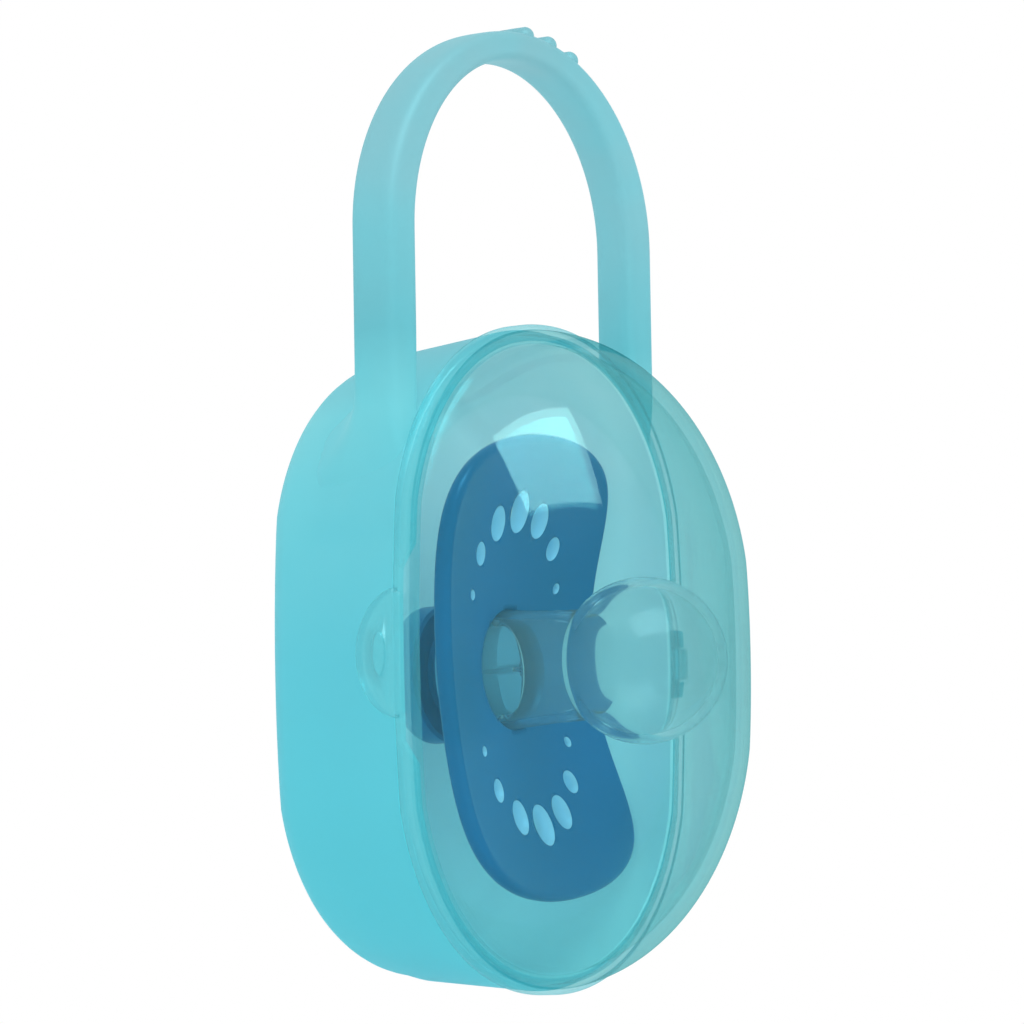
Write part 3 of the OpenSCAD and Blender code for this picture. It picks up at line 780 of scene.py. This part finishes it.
def shield_ring(share, side):
    """A ring of the shield: a share of its outline, on the bowed front or back."""
    t = 2 * np.pi * np.arange(SHIELD_AROUND) / SHIELD_AROUND
    x = share * WAIST_W / 2 * np.cos(t) * (1 + LOBE_GAIN * np.sin(t) ** 2)
    z = share * SHIELD_H / 2 * signed_pow(np.sin(t), LOBE_POWER)
    bend = x * x / (2 * BEND_X) + z * z / (2 * BEND_Z)
    return np.stack([x, side * SHIELD_T / 2 - bend, z], axis=1)


def lathe(name, profile, count=96):
    """A solid of revolution about the pacifier's Y axis, from (radius, place) points that
    start and end on the axis."""
    turns = 2 * np.pi * np.arange(count) / count
    rings = [
        np.stack([r * np.cos(turns), np.full(count, y), -r * np.sin(turns)], axis=1)
        for r, y in profile[1:-1]
    ]
    return loft(name, rings, (0, profile[0][1], 0), (0, profile[-1][1], 0))


def drum(name, radius, low, high):
    return lathe(name, [(0, high), (radius, high), (radius, low), (0, low)])


def hole_punches(turned_by):
    """The punches of one lobe's holes, which are the smaller and nearer the further out."""
    holes = NodeTree(
        "air_holes",
        {"Count": HOLE_N, "Step": HOLE_STEP, "Turn": turned_by, "Far": HOLE_FAR,
         "Nearer": HOLE_NEAR, "Smaller": HOLE_SMALLER, "Fade": HOLE_FADE},
    )
    last = holes.math("DIVIDE", holes.math("SUBTRACT", "Count", 1.0), 2.0)
    place = holes.math("SUBTRACT", holes.index, last)
    share = holes.math("DIVIDE", holes.math("ABSOLUTE", place), last)
    angle = holes.math("ADD", holes.math("MULTIPLY", place, "Step"), "Turn")
    nearer = holes.math("MULTIPLY", holes.math("POWER", share, 2.0), "Nearer")
    far = holes.math("SUBTRACT", "Far", nearer)
    smaller = holes.math("MULTIPLY", holes.math("POWER", share, "Fade"), "Smaller")
    aside = holes.math("MULTIPLY", holes.math("SINE", angle), -1.0)
    x = holes.math("MULTIPLY", aside, far)
    z = holes.math("MULTIPLY", holes.math("COSINE", angle), far)
    turn = holes.math("MULTIPLY", angle, -1.0)
    holes.scatter("Count", x, z, turn, blue, holes.math("SUBTRACT", 1.0, smaller))
    punch = slab("punch", ellipse((0, 0), HOLE_W, HOLE_L), -20 * MM, 20 * MM, "Z")
    punch.transform(Matrix.Rotation(math.pi / 2, 4, "X"))
    return holes.mesh(punch)


# Glossy moulded plastic, deep blue: smooth and shiny, with the faint unevenness that
# cooling leaves in a moulding.
def glossy_plastic(name, colour, deep):
    material, tree = new_material(name)
    cloudy = noise(tree, 22 * MM, 1.5)
    tint = blended(tree, cloudy, linear(colour), linear(deep))
    uneven = {"Strength": 0.08, "Distance": 0.2 * MM}
    bump = add(tree, "ShaderNodeBump", uneven, Height=cloudy).outputs[0]
    finish = {"Roughness": 0.3, "Specular IOR Level": 0.3, "Specular Tint": linear("6CB4DC")}
    body = add(tree, "ShaderNodeBsdfPrincipled", finish, Base_Color=tint, Normal=bump)
    add(tree, "ShaderNodeOutputMaterial", None, Surface=body.outputs[0])
    return material


blue = glossy_plastic("blue_polycarbonate", "1270AC", "065E80")
# The same plastic painted pale in the walls of the air holes: painted light, a lit copy that stands
# in for the bright case seen through the holes.
hole_side_painted_light = glossy_plastic("blue_polycarbonate_hole_side_painted_light", "B4E4FA", "A6DAF4")

shares = [RIM_FROM * (k + 1) / SHIELD_RINGS for k in range(SHIELD_RINGS)]
rim_angles = [math.radians(d) for d in (-90, -70, -50, -25, 0, 25, 50, 70, 90)]
rings = [shield_ring(s, -1) for s in shares]
rings += [shield_ring(0.96 + 0.04 * math.cos(a), math.sin(a)) for a in rim_angles]
rings += [shield_ring(s, 1) for s in reversed(shares)]
lobes = loft("lobes", rings, (0, -SHIELD_T / 2, 0), (0, SHIELD_T / 2, 0))
collar = drum("collar", COLLAR_R, 0, SHIELD_T / 2)
shield = finished("pacifier_shield_lobes", [lobes, collar], [blue, hole_side_painted_light])
bore = drum("bore", BORE_R, -3 * SHIELD_T, 3 * SHIELD_T)
cutters = [hole_punches(0.0), hole_punches(math.pi), bore]
cutter = finished("cutters", cutters, [blue, hole_side_painted_light])
# The walls of the air holes take the pale copy with the painted light; the bore stays plain blue.
for face in cutter.data.polygons:
    face.material_index = int(math.hypot(face.center.x, face.center.z) > COLLAR_R)
cut = shield.modifiers.new("cut", "BOOLEAN")
cut.operation, cut.object, cut.solver, cut.use_self = "DIFFERENCE", cutter, "EXACT", True
settle(shield)
bpy.data.objects.remove(cutter)
shield.data.transform(in_pacifier)
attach(shield, "case")
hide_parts("pacifier_shield")

# ---- Teat ----
# A hollow teat moulded in clear silicone: a round bulb on a flared neck, with a flange
# that the plug clamps behind the shield.
BULB_R, BULB_Y, NECK_R, NECK_FLARE, TEAT_T = 10.3 * MM, 20.2 * MM, 6.9 * MM, 0.7 * MM, 1.1 * MM
FLANGE_R, FLANGE_T, FLANGE_EDGE = 10 * MM, 1.2 * MM, 0.2 * MM
NECK_STEPS, BULB_STEPS, SMOOTHED = 12, 40, 8
base_r = NECK_R + NECK_FLARE
flange_front, flange_back = SHIELD_T / 2, SHIELD_T / 2 + FLANGE_T


def teat_side(inset):
    """Half outline of the teat from its base to the tip, of the outer face or of the inner
    one, where the neck runs softly into the bulb."""
    r, neck = BULB_R - inset, NECK_R - inset
    start = math.asin(neck / r)
    neck_end = BULB_Y - r * math.cos(start)
    parts = [k / NECK_STEPS for k in range(NECK_STEPS)]
    side = [(neck + NECK_FLARE * (1 - part) ** 2, -neck_end * part) for part in parts]
    turns = [start + (math.pi - start) * k / BULB_STEPS for k in range(BULB_STEPS)]
    side += [(r * math.sin(t), r * math.cos(t) - BULB_Y) for t in turns]
    side += [(0, -BULB_Y - r)]
    for _ in range(SMOOTHED if inset else 0):
        runs = zip(side, side[1:], side[2:])
        middles = [((a[0] + 2 * b[0] + c[0]) / 4, (a[1] + 2 * b[1] + c[1]) / 4) for a, b, c in runs]
        side = side[:1] + middles + side[-1:]
    return side


# Clear silicone: soft and clear with a faint milky body, a wet-looking skin and dark
# edges where light bends through the wall. It bends light less here than the real one,
# which keeps the bulb as soft as a thin wall looks.
def clear_silicone(name, colour, milk, milk_share):
    material, tree = new_material(name)
    glassy = {"Base Color": linear(colour), "Roughness": 0.06, "IOR": 1.18}
    skin = add(tree, "ShaderNodeBsdfPrincipled", glassy | {"Transmission Weight": 1.0})
    veil = add(tree, "ShaderNodeBsdfPrincipled", {"Base Color": linear(milk), "Roughness": 0.3})
    hazy = layered(tree, milk_share, skin.outputs[0], veil.outputs[0])
    lit_through(tree, hazy, colour, 1.0)
    return material


silicone = clear_silicone("clear_silicone", "F6FAFA", "B0CCD0", 0.08)
flange = [
    (base_r - TEAT_T, flange_back),
    (FLANGE_R - FLANGE_EDGE, flange_back),
    (FLANGE_R, flange_back - FLANGE_EDGE),
    (FLANGE_R, flange_front + FLANGE_EDGE),
    (FLANGE_R - FLANGE_EDGE, flange_front),
    (base_r, flange_front),
]
skin = lathe("skin", teat_side(TEAT_T)[::-1] + flange + teat_side(0))
teat = finished("pacifier_teat_silicone", [skin], [silicone])
teat.data.transform(in_pacifier)
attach(teat, "case")
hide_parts("pacifier_teat")

# ---- Teat plug ----
# The clip that clamps the teat's flange: a round plate with two half-oval studs that
# stand in the neck, moulded in pale translucent plastic.
PLUG_T, PLUG_EDGE = 1.6 * MM, 0.3 * MM
STUD_L, STUDS_H, STUDS_W, STUD_GAP = 3.4 * MM, 11 * MM, 5.8 * MM, 0.6 * MM
plug_back = flange_back + PLUG_T
plate_profile = [
    (0, plug_back),
    (FLANGE_R - PLUG_EDGE, plug_back),
    (FLANGE_R, plug_back - PLUG_EDGE),
    (FLANGE_R, flange_back + FLANGE_EDGE),
    (FLANGE_R - FLANGE_EDGE, flange_back),
    (0, flange_back),
]
plug_meshes = [lathe("plate", plate_profile)]
gap_turn = math.degrees(math.asin(STUD_GAP / STUDS_H))
for half in (1, -1):
    outline = arc((0, 0), (STUDS_W / 2, half * STUDS_H / 2), gap_turn, 180 - gap_turn, 24)
    stud = slab("stud", outline, -flange_back, -flange_back + STUD_L, "Z", round_edge=0.4 * MM)
    stud.transform(Matrix.Rotation(math.pi / 2, 4, "X"))
    plug_meshes.append(stud)
PLUG_TINTS = [(-40, "5FA6C6"), (40, "6FB2CE")]
pale = frosted_polypropylene("pale_polypropylene", PLUG_TINTS, "5A9CBE", 0.3)
plug = finished("teat_plug_clip", plug_meshes, [pale])
plug.data.transform(in_pacifier)
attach(plug, "case")
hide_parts("teat_plug")

# ---- Knob ----
# The button behind the shield by which the pacifier is held, moulded in the same blue
# plastic. Its stem stands on the plug's plate.
STEM_R, STEM_L, STEM_EDGE = 5.2 * MM, 3.6 * MM, 0.4 * MM
KNOB_R, KNOB_T, KNOB_EDGE = 8.6 * MM, 4.6 * MM, 2 * MM
stem_back = plug_back + STEM_L
knob_back = stem_back + KNOB_T
knob_profile = [
    (0, plug_back),
    (STEM_R, plug_back),
    (STEM_R, stem_back - STEM_EDGE),
    (STEM_R + STEM_EDGE, stem_back),
    (KNOB_R - STEM_EDGE, stem_back),
    (KNOB_R, stem_back + STEM_EDGE),
]
edge_middle = (KNOB_R - KNOB_EDGE, knob_back - KNOB_EDGE)
knob_profile += arc(edge_middle, (KNOB_EDGE, KNOB_EDGE), 0, 90, 10) + [(0, knob_back)]
knob = finished("pacifier_knob_button", [lathe("knob", knob_profile)], [blue])
knob.data.transform(in_pacifier)
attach(knob, "case")
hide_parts("pacifier_knob")
